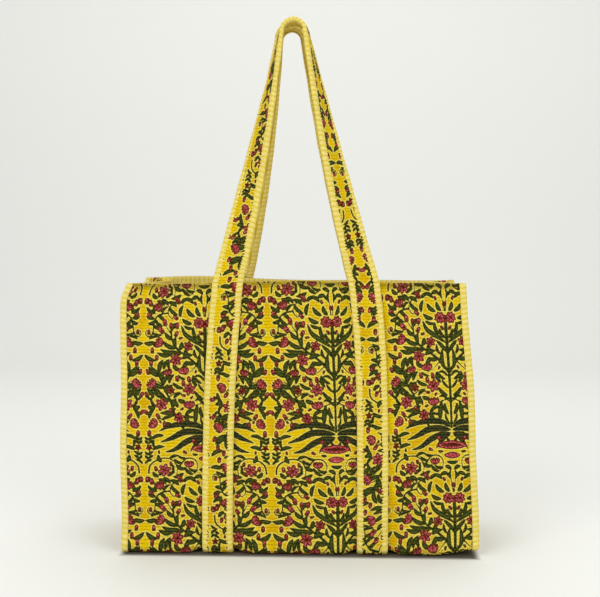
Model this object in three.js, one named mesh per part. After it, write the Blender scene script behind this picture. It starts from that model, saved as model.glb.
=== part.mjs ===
// A quilted cotton knitting tote: panels sewn from three layers, bound side seams, and two long
// strap handles that are hinged where they leave the rim. Millimetres, X to the right, Y to the
// back, Z up, with the floor at z = 0 under the straps that run beneath the base.
import * as THREE from 'three';
import { mergeVertices } from 'three/addons/utils/BufferGeometryUtils.js';

// Driving dimensions of the bag
const HEIGHT = 346;
const BASE_HALF_WIDTH = 229;
const BASE_HALF_DEPTH = 79;
const RIM_LEAN = 9;
const RIGHT_SIDE_LEAN = 18;
const CORNER_RADIUS = 14;
const GAP = 0.3;

// Each quilted sandwich, from the outside in
const PANEL_LAYERS = { print: 1.2, wadding: 2.4, lining: 1.2 };
const STRAP_LAYERS = { print: 0.8, wadding: 1.4, lining: 0.8 };

// Straps and bindings
const STRAP_WIDTH = 39.5;
const STRAP_CROWN = 1.3;
const BINDING_FACE = 9;
const BINDING_CLOTH = 0.8;
const STRAP_EDGE_GAP = 0.7;
// Each strap runs straight up from base and swerves to rim over the last stretch of the height.
const STRAP_CENTRES = {
  left: { base: -104, rim: -90.2, swerve: 2.6 },
  right: { base: 93.8, rim: 81.8, swerve: 4.2 },
};
const FACING_HEIGHT = 28;
const FACING_GAP = 0.9;

// The handle arch above the rim
const ARCHES = {
  front: { top: 683.5, centreX: -8.5, mirror: 1 },
  back: { top: 685, centreX: -14, mirror: -1 },
};
const ARCH_RADIUS = 16.5;
const ARCH_Y = -22.5;
const LEG_BOW = { left: 3, right: 2.5 };
const EARLY_TWIST = { left: 0.08, right: 0.16 };
const HINGE_GAP = 0.6;

const PRINT = { color: 0xd9a514, roughness: 0.9 };
const STRIPE = { color: 0xe8cf7c, roughness: 0.9 };
const WADDING = { color: 0xf2efe6, roughness: 1.0 };

const bag = new THREE.Group();

// ---------------------------------------------------------------- sections and sweeps

// Thickness of a stack of layers with a gap between each.
function stackThickness(layers) {
  const cloths = Object.values(layers);
  return cloths.reduce((sum, cloth) => sum + cloth, 0) + GAP * (cloths.length - 1);
}

// Where each layer starts and ends, measured inward from the outer face of the stack. Every
// second layer is swept backwards, so that faces that meet are divided along the same diagonals.
function layerSpans(layers) {
  let depth = 0;
  return Object.entries(layers).map(([name, cloth], i) => {
    const span = { name, outer: -depth, inner: -depth - cloth, backwards: i % 2 === 1 };
    depth += cloth + GAP;
    return span;
  });
}

// A binding's section: a channel that wraps the edge of a stack, opening towards -u. Its edge
// side is at u = 0, and the stack's faces are at v = top and v = bottom.
function channelSection(top, bottom) {
  const outside = { top: top + GAP + BINDING_CLOTH, bottom: bottom - GAP - BINDING_CLOTH };
  const inside = { top: top + GAP, bottom: bottom - GAP };
  return new THREE.Shape([
    new THREE.Vector2(-BINDING_FACE, inside.top),
    new THREE.Vector2(-BINDING_CLOTH, inside.top),
    new THREE.Vector2(-BINDING_CLOTH, inside.bottom),
    new THREE.Vector2(-BINDING_FACE, inside.bottom),
    new THREE.Vector2(-BINDING_FACE, outside.bottom),
    new THREE.Vector2(0, outside.bottom),
    new THREE.Vector2(0, outside.top),
    new THREE.Vector2(-BINDING_FACE, outside.top),
  ]);
}

function signedVolume(geometry) {
  const position = geometry.getAttribute('position');
  const corner = [new THREE.Vector3(), new THREE.Vector3(), new THREE.Vector3()];
  let volume = 0;
  for (let i = 0; i < position.count; i += 3) {
    corner.forEach((point, k) => point.fromBufferAttribute(position, i + k));
    volume += corner[0].dot(corner[1].cross(corner[2])) / 6;
  }
  return volume;
}

// Swaps two corners of each triangle, which turns every face round.
function turnFacesRound(geometry) {
  const position = geometry.getAttribute('position');
  const first = new THREE.Vector3();
  const second = new THREE.Vector3();
  for (let i = 0; i < position.count; i += 3) {
    first.fromBufferAttribute(position, i);
    second.fromBufferAttribute(position, i + 1);
    position.setXYZ(i, second.x, second.y, second.z);
    position.setXYZ(i + 1, first.x, first.y, first.z);
  }
}

// Puts every vertex where place says, and leaves one closed body that faces out.
function shaped(geometry, place) {
  const flat = geometry.index ? geometry.toNonIndexed() : geometry;
  flat.deleteAttribute('normal');
  flat.deleteAttribute('uv');
  const position = flat.getAttribute('position');
  const point = new THREE.Vector3();
  for (let i = 0; i < position.count; i += 1) {
    point.copy(place(new THREE.Vector3().fromBufferAttribute(position, i)));
    position.setXYZ(i, point.x, point.y, point.z);
  }
  if (signedVolume(flat) < 0) {
    turnFacesRound(flat);
  }
  const merged = mergeVertices(flat, 1e-4);
  merged.computeVertexNormals();
  return merged;
}

// One layer of cloth: a box divided into a grid, with across listing its places from -1 to 1 over
// the width. Either face may be crowned. place gets (u, v) and the station.
function clothStrip(across, stations, layer, place, faceCrown = () => 0, backCrown = faceCrown) {
  const [columns, rows] = [across.length - 1, stations.length - 1];
  const route = layer.backwards ? stations.toReversed() : stations;
  const box = new THREE.BoxGeometry(columns, rows, 1, columns, rows, 1);
  return shaped(box, ({ x, y, z }) => {
    const u = across[Math.round(x + columns / 2)];
    const v = z > 0 ? layer.outer + faceCrown(u) : layer.inner + backCrown(u);
    return place(u, v, route[Math.round(y + rows / 2)]);
  });
}

// Extrudes a section along a list of stations: place gets (u, v) and the station.
function swept(section, stations, place, backwards = false) {
  const route = backwards ? stations.toReversed() : stations;
  const steps = route.length - 1;
  const straight = new THREE.ExtrudeGeometry(section, { depth: steps, steps, bevelEnabled: false });
  return shaped(straight, (point) => place(point.x, point.y, route[Math.round(point.z)]));
}

function addPiece(name, geometry, look) {
  const material = new THREE.MeshStandardMaterial({ ...look, metalness: 0 });
  const mesh = new THREE.Mesh(geometry, material);
  mesh.name = name;
  bag.add(mesh);
}

const LOOKS = { print: PRINT, wadding: WADDING, lining: STRIPE };

// ---------------------------------------------------------------- the bag's surface

const panelThickness = stackThickness(PANEL_LAYERS);
const strapHalf = stackThickness(STRAP_LAYERS) / 2;
const bindingProud = GAP + BINDING_CLOTH;
const strapStandoff = strapHalf + bindingProud + GAP;
const baseZ = strapStandoff + strapHalf + STRAP_CROWN;

const heightShare = (z) => Math.max(0, (z - baseZ) / (HEIGHT - baseZ));
const halfDepth = (t) => BASE_HALF_DEPTH - RIM_LEAN * t * t;
const leftEdge = () => -BASE_HALF_WIDTH;
const rightEdge = (t) => BASE_HALF_WIDTH - RIGHT_SIDE_LEAN * t ** 1.6;

// A vertical fold of constant cloth width: how far a gusset's middle is pushed in.
const foldDepth = (t) => Math.sqrt(BASE_HALF_DEPTH ** 2 - halfDepth(t) ** 2);

function evenly(count, from, to) {
  return Array.from({ length: count + 1 }, (_, i) => from + ((to - from) * i) / count);
}

// The outer face's run from the front rim down, under the base and up to the back rim. Each
// station has its place and outward normal in the YZ plane, and its share of the height.
function wrapStations() {
  const frontPanel = evenly(6, HEIGHT, baseZ + CORNER_RADIUS).map((z) => {
    const t = heightShare(z);
    const slope = (2 * RIM_LEAN * t) / (HEIGHT - baseZ);
    const normal = new THREE.Vector2(-1, slope).normalize();
    return { y: -halfDepth(t), z, ny: normal.x, nz: normal.y, t };
  });
  const corner = frontPanel.at(-1);
  const frontCorner = evenly(4, 0, Math.PI / 2).slice(1).map((angle) => ({
    y: corner.y + CORNER_RADIUS * (1 - Math.cos(angle)),
    z: corner.z - CORNER_RADIUS * Math.sin(angle),
    ny: -Math.cos(angle),
    nz: -Math.sin(angle),
    t: 0,
  }));
  const front = [...frontPanel, ...frontCorner];
  const back = front.map((station) => ({ ...station, y: -station.y, ny: -station.ny })).reverse();
  return [...front, ...back];
}

const wrap = wrapStations();

// A point off the wrap: v is measured outward from the outer face.
const onWrap = (x, v, at) => new THREE.Vector3(x, at.y + at.ny * v, at.z + at.nz * v);

// ---------------------------------------------------------------- body pieces

// Front, base and back are one length of quilted cloth.
function addBodyWrap() {
  const place = (u, v, at) => {
    const left = leftEdge(at.t) + bindingProud;
    const right = rightEdge(at.t) - bindingProud;
    return onWrap(left + ((u + 1) / 2) * (right - left), v, at);
  };
  for (const layer of layerSpans(PANEL_LAYERS)) {
    addPiece(`body_${layer.name}`, clothStrip([-1, 0, 1], wrap, layer, place), LOOKS[layer.name]);
  }
}

// One binding goes down the front seam, under the base and up the back seam on each side.
function addSeamBindings() {
  const section = channelSection(0, -panelThickness);
  const edges = { left: { x: leftEdge, out: -1 }, right: { x: rightEdge, out: 1 } };
  for (const [side, edge] of Object.entries(edges)) {
    const geometry = swept(section, wrap, (u, v, at) => onWrap(edge.x(at.t) + edge.out * u, v, at));
    addPiece(`${side}_seam_binding`, geometry, STRIPE);
  }
}

// The gusset's stations climb the inside of the wrap, first around the base corner.
function gussetStations() {
  const inset = panelThickness + GAP;
  const innerRadius = CORNER_RADIUS - inset;
  const corner = evenly(4, 0, Math.PI / 2).map((angle) => ({
    halfRun: BASE_HALF_DEPTH - inset - innerRadius * (1 - Math.sin(angle)),
    z: baseZ + inset + innerRadius * (1 - Math.cos(angle)),
  }));
  const wall = evenly(8, baseZ + CORNER_RADIUS, HEIGHT).slice(1).map((z) => ({
    halfRun: halfDepth(heightShare(z)) - inset,
    z,
  }));
  return [...corner, ...wall].map((station) => ({ ...station, t: heightShare(station.z) }));
}

const gussetInset = BINDING_FACE + GAP;

function addGussets() {
  const stations = gussetStations();
  const across = evenly(8, -1, 1);
  const sides = { left: { edge: leftEdge, out: -1 }, right: { edge: rightEdge, out: 1 } };
  for (const [side, { edge, out }] of Object.entries(sides)) {
    const place = (u, v, at) => {
      const pushedIn = foldDepth(at.t) * (1 - Math.abs(u));
      const x = edge(at.t) + out * (v - gussetInset - pushedIn);
      return new THREE.Vector3(x, u * at.halfRun, at.z);
    };
    for (const layer of layerSpans(PANEL_LAYERS)) {
      const geometry = clothStrip(across, stations, layer, place);
      addPiece(`${side}_gusset_${layer.name}`, geometry, LOOKS[layer.name]);
    }
  }
}

// The mouth's inner contour at one height: corners and gusset folds, inset from the outer faces.
function mouthContour(z, inset) {
  const t = heightShare(z);
  const left = leftEdge(t) + gussetInset + inset;
  const right = rightEdge(t) - gussetInset - inset;
  const y = halfDepth(t) - inset;
  const fold = foldDepth(t);
  return [[left, -y], [right, -y], [right - fold, 0], [right, y], [left, y], [left + fold, 0]];
}

// A band of striped cloth round the inside of the mouth. A lathe ring gives it one vertex per
// corner of the mouth, which the contour then puts in place.
function addMouthFacing() {
  const corners = mouthContour(HEIGHT, 0).length;
  const rings = 4;
  const ringRadius = { outer: 2, inner: 1 };
  const outline = [
    ...evenly(rings, 0, rings).map((k) => new THREE.Vector2(ringRadius.outer, k)),
    ...evenly(rings, rings, 0).map((k) => new THREE.Vector2(ringRadius.inner, k)),
    new THREE.Vector2(ringRadius.outer, 0),
  ];
  const facing = shaped(new THREE.LatheGeometry(outline, corners), ({ x, y, z }) => {
    const turn = Math.atan2(x, z) / (2 * Math.PI);
    const corner = (Math.round(turn * corners) + corners) % corners;
    const outside = Math.round(Math.hypot(x, z)) === ringRadius.outer;
    const inset = panelThickness + FACING_GAP + (outside ? 0 : BINDING_CLOTH);
    const height = HEIGHT - FACING_HEIGHT * (1 - y / rings);
    const [px, py] = mouthContour(height, inset)[corner];
    return new THREE.Vector3(px, py, height);
  });
  addPiece('mouth_facing', facing, STRIPE);
}

// ---------------------------------------------------------------- straps and handles

const strapHalfWidth = STRAP_WIDTH / 2;
const stackHalfWidth = strapHalfWidth - BINDING_CLOTH - STRAP_EDGE_GAP;

// The strap's face rises between the bindings to a flat middle.
function strapCrown(u) {
  return Math.abs(u) < 0.5 ? STRAP_CROWN : 0;
}

// One layer of a strap. The print is crowned, the wadding fills the crown from a flat back, and
// the lining is flat.
function strapLayer(layer, stations, place) {
  const across = [-1, -0.58, -0.42, 0, 0.42, 0.58, 1];
  const flat = () => 0;
  const faceCrown = layer.name === 'lining' ? flat : strapCrown;
  const backCrown = layer.name === 'print' ? strapCrown : flat;
  const placeCloth = (u, v, at) => place(u * stackHalfWidth, v + strapHalf, at);
  return clothStrip(across, stations, layer, placeCloth, faceCrown, backCrown);
}

// The five pieces of a strap, swept along any stations: place gets the distance across the
// strap from its middle, towards its inner edge, and the distance out from its mid-plane.
function addStrap(name, stations, place) {
  for (const layer of layerSpans(STRAP_LAYERS)) {
    addPiece(`${name}_${layer.name}`, strapLayer(layer, stations, place), LOOKS[layer.name]);
  }
  const channel = channelSection(strapHalf, -strapHalf);
  for (const [edge, out] of [['inner', 1], ['outer', -1]]) {
    const placeEdge = (u, v, at) => place(out * (u + strapHalfWidth), v, at);
    addPiece(`${name}_${edge}_binding`, swept(channel, stations, placeEdge, out > 0), STRIPE);
  }
}

// A sewn strap runs down the front, under the base and up the back, just off the body.
function addSewnStraps() {
  for (const [side, centre] of Object.entries(STRAP_CENTRES)) {
    const inward = side === 'left' ? 1 : -1;
    addStrap(`${side}_strap`, wrap, (across, out, at) => {
      const middle = centre.base + (centre.rim - centre.base) * at.t ** centre.swerve;
      const x = middle + inward * across;
      return onWrap(x, out + strapStandoff, at);
    });
  }
}

const ease = (share) => share * share * (3 - 2 * share);
const rimY = -(halfDepth(1) + strapStandoff);

// The middle line of the front handle: up the left leg and round the arch to its top, then
// down the right leg.
function archPath({ top, centreX }) {
  const tilt = THREE.MathUtils.degToRad(11.5);
  const arcCentre = top - ARCH_RADIUS;
  const legTop = arcCentre + ARCH_RADIUS * Math.sin(tilt);
  const bottom = HEIGHT + HINGE_GAP;
  const legSpread = ARCH_RADIUS * Math.cos(tilt);
  const leanTo = (z) => {
    const share = (z - bottom) / (top - bottom);
    return rimY + (ARCH_Y - rimY) * (0.35 * share + 0.65 * share * share);
  };
  const halfArch = (side, out) => {
    const foot = STRAP_CENTRES[side].rim;
    const leg = evenly(15, 0, 1).map((share) => {
      const spread = Math.abs(foot - centreX) * (1 - share) + legSpread * share;
      const z = bottom + (legTop - bottom) * share;
      return { x: centreX + out * (spread - LEG_BOW[side] * Math.sin(Math.PI * share)), z };
    });
    const arc = evenly(5, tilt, Math.PI / 2).slice(1).map((angle) => ({
      x: centreX + out * ARCH_RADIUS * Math.cos(angle),
      z: arcCentre + ARCH_RADIUS * Math.sin(angle),
    }));
    return [...leg, ...arc].map(({ x, z }) => new THREE.Vector3(x, leanTo(z), z));
  };
  const left = halfArch('left', -1);
  const right = halfArch('right', 1);
  return [...left, ...right.slice(0, -1).reverse()];
}

// Frames along the arch. The strap lies flat against the rim, and twists as it climbs until it
// is edge-on to the front at the top, with its inner edge foremost and its print outward. Climb
// goes from 0 at the rim to 1 at the top of the arch.
function archStations(arch) {
  const path = archPath(arch);
  const middle = (path.length - 1) / 2;
  const run = [0];
  for (let i = 1; i < path.length; i += 1) {
    run.push(run[i - 1] + path[i].distanceTo(path[i - 1]));
  }
  return path.map((centre, i) => {
    const before = path[Math.max(0, i - 1)];
    const after = path[Math.min(path.length - 1, i + 1)];
    const along = after.clone().sub(before).normalize();
    const legRun = i <= middle ? run[i] : run.at(-1) - run[i];
    const climb = legRun / run[middle];
    const inPlane = new THREE.Vector3(0, 1, 0).cross(along).normalize();
    const level = new THREE.Vector3(i <= middle ? 1 : -1, 0, 0);
    const early = i <= middle ? EARLY_TWIST.left : EARLY_TWIST.right;
    const settled = ease(Math.min(1, climb / 0.12));
    const inward = level.lerp(inPlane, settled).normalize();
    const twist = (Math.PI / 2) * (early * settled + (1 - early) * climb);
    const forward = inward.clone().cross(along).normalize();
    const width = inward.multiplyScalar(Math.cos(twist)).addScaledVector(forward, Math.sin(twist));
    const face = width.clone().cross(along).normalize();
    return { centre, width, face };
  });
}

function addHandles() {
  for (const [name, arch] of Object.entries(ARCHES)) {
    addStrap(`${name}_handle`, archStations(arch), (across, out, { centre, width, face }) => {
      const point = centre.clone().addScaledVector(width, across).addScaledVector(face, out);
      return point.setY(point.y * arch.mirror);
    });
  }
}

addBodyWrap();
addGussets();
addSeamBindings();
addMouthFacing();
addSewnStraps();
addHandles();

export default bag;
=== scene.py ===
"""A quilted, block-printed cotton tote with bound seams and two long strap handles.

Sizes are in millimetres up to the moment a mesh is made. X is to the right, Y to the back and
Z up, in the CAD model's frame. The cloth follows the same surfaces as the CAD model, except that
the fold at the base is tighter, and that the sewn cloth sags and waves a little.
"""
import math

import bmesh
import bpy
import numpy as np
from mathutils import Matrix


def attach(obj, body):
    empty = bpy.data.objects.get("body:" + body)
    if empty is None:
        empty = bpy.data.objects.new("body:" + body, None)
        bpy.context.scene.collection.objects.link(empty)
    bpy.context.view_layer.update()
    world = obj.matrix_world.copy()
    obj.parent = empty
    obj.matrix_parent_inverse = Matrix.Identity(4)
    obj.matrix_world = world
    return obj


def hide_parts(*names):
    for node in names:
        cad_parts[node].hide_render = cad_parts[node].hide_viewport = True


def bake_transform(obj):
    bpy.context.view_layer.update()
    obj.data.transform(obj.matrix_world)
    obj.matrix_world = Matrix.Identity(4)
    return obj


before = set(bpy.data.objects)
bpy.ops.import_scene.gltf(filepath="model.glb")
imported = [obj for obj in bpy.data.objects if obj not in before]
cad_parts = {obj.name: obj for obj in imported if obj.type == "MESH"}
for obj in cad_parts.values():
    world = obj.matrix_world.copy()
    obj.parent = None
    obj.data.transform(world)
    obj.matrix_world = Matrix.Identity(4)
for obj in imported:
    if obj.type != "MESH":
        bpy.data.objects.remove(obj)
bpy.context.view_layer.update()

MM = 0.001

# The bag. All but the two fold radii are as in the CAD model
HEIGHT = 346.0
HALF_WIDTH = 229.0
HALF_DEPTH = 79.0
RIM_LEAN = 9.0
RIGHT_SIDE_LEAN = 18.0
CORNER_RADIUS = 7.0
GUSSET_FOLD_RADIUS = 3.0
BASE_Z = 6.3
PANEL_THICKNESS = 5.4
BINDING_FACE = 9.0
BINDING_PROUD = 1.1
GUSSET_INSET = 9.3
GAP = 0.3
FACING_HEIGHT = 28.0
FACING_GAP = 0.9
FACING_CLOTH = 0.8

# The straps and the handle arches, as in the CAD model. STRAP_CENTRES are each strap's places at
# the base and at the rim. It swerves from one to the other with that power of the height. An arch
# has its top, its middle's x, and 1 for the front handle or -1 for the mirrored back one
STRAP_HALF_WIDTH = 19.75
STRAP_HALF = 1.8
STRAP_STANDOFF = 3.2
STRAP_CROWN = 1.3
STRAP_EDGE = 1.5
STRAP_CENTRES = {"left": (-104.0, -90.2), "right": (93.8, 81.8)}
STRAP_SWERVE = {"left": 2.6, "right": 4.2}
ARCHES = {"front_handle": (683.5, -8.5, 1), "back_handle": (685.0, -14.0, -1)}
ARCH_RADIUS = 16.5
ARCH_Y = -22.5
ARCH_TILT = math.radians(11.5)
LEG_BOW = {"left": 3.0, "right": 2.5}
EARLY_TWIST = {"left": 0.08, "right": 0.16}

# How far the settled cloth sags at the base and bulges at the foot, and how the rims rise above
# their level: the level, then each bump's height, place and width
SAG = 6.0
FOOT_BULGE = 5.0
FRONT_RIM = (1.4, (3.0, 0, 85), (-1.2, -175, 45), (0.6, 160, 60))
BACK_RIM = (0.8, (4.0, -150, 80), (-1.8, 20, 90), (-1.8, 170, 60))

# The cloth: rows of running stitch, and how finely the faces are divided
STITCH_ROW = 3.85
ROW_STEP = STITCH_ROW / 4
COLUMN_STEP = 1.45
BINDING_STEP = 1.6
BACK_RATIO = 4
COARSE = (slice(None, None, BACK_RATIO),) * 2
RIB_HEIGHT = 0.3

# Painted shade in a band along the fold at the body's rims: its width, and how dark it gets
RIM_SHADE_WIDTH = 11.0
RIM_SHADE_STRENGTH = 0.5

# The print's repeat. PRINT_AXES are the places of its plants and plain columns by turns, measured
# from the left binding to the right one over a width of PRINT_WIDTH, and PRINT_RISE is how far the
# print is raised at some of those places
HALF_TILE = 80.0
TILE_HEIGHT = 228.0
TILE_STEP = 0.4
PRINT_WIDTH = 440.0
PRINT_AXES = (-58.5, 22.0, 103.5, 186.0, 270.5, 340.0, 418.5, 494.0)
PRINT_RISE = {0: -1.0, 260: -1.0, 420: 6.5}
CROWN_Z = 297.0
FAR = 20.0

# How the straps are cut from the print: where the plain column lies from the middle line, how it
# drifts along the right strap, and where the print starts at the rim
COLUMN_OFFSET = {"left": 9.5, "right": 1.0}
COLUMN_DRIFT = {"strap": 0.075, "handle": 0.01}
STRAP_PRINT_START = {"left": 31, "right": 96}

# Display colours, 0 to 255, and the stripes' periods
YELLOW = (228, 196, 2)
DEEP_YELLOW = (214, 172, 0)
ORANGE = (206, 140, 6)
# Painted shade in the valleys between the rows of stitching
SHADE = (120, 84, 4)
# Painted shade along the fold at the body's rims
PAINTED_RIM_SHADE = (60, 42, 8)
OUTLINE = (234, 214, 96)
LEAF = (38, 58, 20)
LEAF_DARK = (23, 37, 12)
LEAF_LIGHT = (72, 92, 36)
FROND = (34, 54, 32)
FROND_DARK = (20, 32, 20)
CRIMSON = (84, 18, 12)
PINK = (146, 26, 50)
PALE_PINK = (214, 108, 112)
RED = (84, 10, 20)
THREAD = (206, 180, 60)
CREAM = (236, 216, 126)
STRIPE_YELLOW = (220, 198, 76)
LINING_CREAM = (234, 212, 112)
LINING_YELLOW = (214, 182, 50)
STRIPE_PERIOD = 6.4
LINING_PERIOD = 7.0

# The studio, in metres, watts and degrees. A painted contact shadow darkens the paper in a narrow line
# round the bag, fading over the given reach. Each light has its name, place, size and power
PAPER = (235, 236, 232)
# Painted light: the paper's colour higher up the backdrop, where it is lighter
PAINTED_LIGHT_HIGH_PAPER = (243, 243, 240)
PAINTED_CONTACT_SHADOW = (70, 56, 34)
CONTACT_SHADOW_REACH = (0.016, 0.004)
CONTACT_SHADOW_INSET = 0.012
WORLD_LIGHT = 0.55
AREA_LIGHTS = (
    ("overhead", (0.2, 0.4, 2.6), (2.6, 2.6), 30.0),
    ("front_left", (-1.7, -2.2, 1.7), (1.8, 1.8), 34.0),
    ("front_right", (1.9, -2.0, 1.3), (1.8, 1.8), 22.0),
)
CAMERA_PLACE = (0.047, -1.320, 0.411)
CAMERA_DOWN = 3.79
CAMERA_LEFT = 2.1
CAMERA_LENS = 59.34


# ------------------------------------------------------------------ the print, drawn once

def smooth_line(points, step=0.6):
    """A Catmull-Rom line through the points, as evenly spaced points."""
    points = np.array(points, float)
    if len(points) > 2:
        padded = np.vstack([2 * points[0] - points[1], points, 2 * points[-1] - points[-2]])
        share = np.linspace(0, 1, 12, endpoint=False)[:, None]
        parts = []
        for a, b, c, d in zip(padded, padded[1:], padded[2:], padded[3:]):
            parts.append(0.5 * (2 * b + (c - a) * share + (2 * a - 5 * b + 4 * c - d) * share**2
                                + (3 * b - a - 3 * c + d) * share**3))
        points = np.vstack(parts + [points[-1:]])
    run = np.concatenate([[0], np.cumsum(np.linalg.norm(np.diff(points, axis=0), axis=1))])
    at = np.linspace(0, run[-1], max(3, int(run[-1] / step) + 2))
    return np.stack([np.interp(at, run, points[:, k]) for k in (0, 1)], axis=1)


def tip_of(radius, angle):
    return radius * np.array([np.cos(angle), np.sin(angle)])


class Tile:
    """Half a repeat of the print, as arrays of distance from each ink's edge, negative inside.

    a is the distance from the plant's middle line and v the distance below its crown, and the
    drawing is mirrored about a = 0 and about a = HALF_TILE.
    """

    INKS = ("green", "frond", "petal", "red")

    def __init__(self):
        self.columns = int(HALF_TILE / TILE_STEP) + 1
        self.rows = int(TILE_HEIGHT / TILE_STEP)
        self.ink = {name: np.full((self.rows, self.columns), FAR) for name in self.INKS}

    def stroke(self, ink, line, half_widths):
        """Inks everything within half_widths of the line, wrapping round the repeat."""
        field = self.ink[ink]
        reach = half_widths.max() + 3
        for shift in (-TILE_HEIGHT, 0, TILE_HEIGHT):
            moved = line + (0, shift)
            low = np.floor((moved.min(0) - reach) / TILE_STEP).astype(int)
            high = np.ceil((moved.max(0) + reach) / TILE_STEP).astype(int)
            c0, c1 = max(0, low[0]), min(self.columns, high[0])
            r0, r1 = max(0, low[1]), min(self.rows, high[1])
            if c0 >= c1 or r0 >= r1:
                continue
            a = np.arange(c0, c1) * TILE_STEP
            v = np.arange(r0, r1)[:, None] * TILE_STEP
            window = field[r0:r1, c0:c1]
            for (x, y), half in zip(moved, half_widths):
                np.minimum(window, np.hypot(a - x, v - y) - half, out=window)

    def stem(self, width, *points):
        line = smooth_line(points)
        self.stroke("green", line, width / 2 * np.linspace(1, 0.55, len(line)))

    def blade(self, ink, width, *points, fullest=0.45):
        """A pointed leaf or petal from its foot to its tip."""
        line = smooth_line(points)
        share = np.linspace(0, 1, len(line)) ** (math.log(0.5) / math.log(fullest))
        self.stroke(ink, line, width / 2 * np.sin(np.pi * share) ** 0.75 + 0.1)

    def branch(self, width, leaf, *points, spacing=9.0, leaves=(0.12, 0.95)):
        """A stem with leaves to both sides in turn, of leaf's width and length."""
        self.stem(width, *points)
        line = smooth_line(points)
        run = np.concatenate([[0], np.cumsum(np.linalg.norm(np.diff(line, axis=0), axis=1))])
        count = max(1, int((leaves[1] - leaves[0]) * run[-1] / spacing))
        for k, at in enumerate(np.linspace(leaves[0], leaves[1], count) * run[-1]):
            here, ahead = (np.array([np.interp(at + more, run, line[:, i]) for i in (0, 1)])
                           for more in (0, 1))
            along = unit(ahead - here + 1e-6)
            side = np.array([-along[1], along[0]]) * (1 if k % 2 else -1)
            self.leaf(leaf[0], here, here + leaf[1] * (0.8 * along + 0.62 * side))

    def fill_gaps(self, least, count):
        """Puts small leaves and buds where the cloth is bare, away from the plain column."""
        a = np.arange(self.columns) * TILE_STEP
        v = np.arange(self.rows)[:, None] * TILE_STEP
        near_heart = (a < 27) & (v > 199) & (v < 223)
        reserved = FAR * ((a > HALF_TILE - 6) | near_heart | (self.ink["frond"] < 6.5))
        for k in range(count):
            bare = np.minimum.reduce(list(self.ink.values())) - reserved
            row, column = np.unravel_index(np.argmax(bare), bare.shape)
            size = bare[row, column]
            if size < least:
                break
            centre = np.array([column, row]) * TILE_STEP
            if k % 5 == 1:
                self.bud(centre, min(size * 0.5, 2.6), 40 * k)
            else:
                reach = self.open_direction(bare, centre, min(1.7 * size, 8.0))
                self.leaf(min(size * 0.92, 4.4), centre - reach, centre + reach)

    @staticmethod
    def open_direction(bare, centre, length):
        """The way in which a leaf of that half length has the most room."""
        best, room = None, -np.inf
        for angle in np.arange(0, np.pi, np.pi / 12):
            reach = length * np.array([np.cos(angle), -np.sin(angle)])
            ends = np.round(np.array([centre - reach, centre + reach]) / TILE_STEP).astype(int)
            columns = np.abs(ends[:, 0]) % bare.shape[1]
            least = bare[ends[:, 1] % bare.shape[0], columns].min()
            if least > room:
                best, room = reach, least
        return best

    def leaf(self, width, foot, tip, bow=0.12):
        foot, tip = np.array(foot, float), np.array(tip, float)
        middle = (foot + tip) / 2 + bow * np.array([foot[1] - tip[1], tip[0] - foot[0]])
        self.blade("green", 1.12 * width, foot, middle, tip)

    def star(self, centre, radius, petals=6, turn=0.3):
        centre, radius = np.array(centre, float), 0.9 * radius
        for k in range(petals):
            self.blade("petal", radius * 0.6, centre + 0.1,
                       centre + tip_of(radius, turn + 2 * np.pi * k / petals), fullest=0.58)
            gap = turn + 2 * np.pi * (k + 0.5) / petals
            spoke = centre + np.linspace(0.2, 0.62, 4)[:, None] * tip_of(radius, gap)
            self.stroke("red", spoke, np.array([0.5, 0.45, 0.4, 0.3]))
        self.stroke("red", centre[None], np.array([radius * 0.2]))

    def tulip(self, centre, width, height, turn):
        """A cup of pointed petals that opens towards turn, in degrees from straight up."""
        up = np.array([np.sin(np.radians(turn)), -np.cos(np.radians(turn))])
        side = np.array([-up[1], up[0]])
        width, height = 0.8 * width, 0.88 * height
        foot = np.array(centre) - up * height / 2
        for lean in (-1, -0.35, 0.35, 1):
            tip = foot + up * height * (1 - 0.12 * abs(lean)) + side * lean * width * 0.44
            belly = foot + up * height * 0.42 + side * lean * width * 0.42
            self.blade("petal", width * 0.4, foot, belly, tip)
        for lean in (-0.68, 0, 0.68):
            top = foot + up * height * 0.72 + side * lean * width * 0.4
            self.stroke("red", np.linspace(foot + up * height * 0.3, top, 8), np.full(8, 0.35))
        for lean in (-1, 1):
            self.blade("green", 1.6, foot - up * 0.8, foot + up * 1.2 + side * lean * width * 0.36)

    def bud(self, centre, radius, turn=0.0):
        up = np.array([np.sin(np.radians(turn)), -np.cos(np.radians(turn))])
        side = np.array([-up[1], up[0]])
        radius = 0.9 * radius
        foot = np.array(centre) - up * radius
        self.blade("petal", radius * 1.7, foot, foot + up * radius * 2.3)
        self.stroke("red", np.array([foot + up * radius * 0.7]), np.array([radius * 0.42]))
        for lean in (-1, 1):
            self.blade("green", 1.5, foot - up * 1.2, foot + up * 1.4 + side * lean * radius)


def draw_crown(tile):
    """The plant's flower head: a pair of pink heads in a fan of leaves."""
    tile.star((7.5, 0), 8.2, 8)
    tile.star((0.5, 1.5), 6.0, 7, 0.6)
    for foot, tip in (((12.6, -7.5), (23.6, -18.5)), ((16.6, 1.0), (29.5, -5.5)),
                      ((5.5, -8.0), (10.5, -20.0))):
        tile.leaf(5.0, foot, tip)
    tile.leaf(3.8, (15.6, 7), (27.5, 3))
    tile.stem(1.7, (1.0, -8), (2.2, -20), (4.2, -32))
    for foot, tip in (((3.4, -26), (9, -35)), ((3.0, -23), (2.4, -37))):
        tile.leaf(2.8, foot, tip)
    for centre, turn in (((12, -24.6), 25), ((1.2, -17), 0)):
        tile.bud(centre, 2.3, turn)
    tile.blade("green", 6.2, (1.0, 32), (9.5, 25), (25, 14.5), (31, 2), fullest=0.5)
    tile.blade("green", 5.0, (1.0, 44), (5, 37), (14.5, 27), fullest=0.5)


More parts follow.
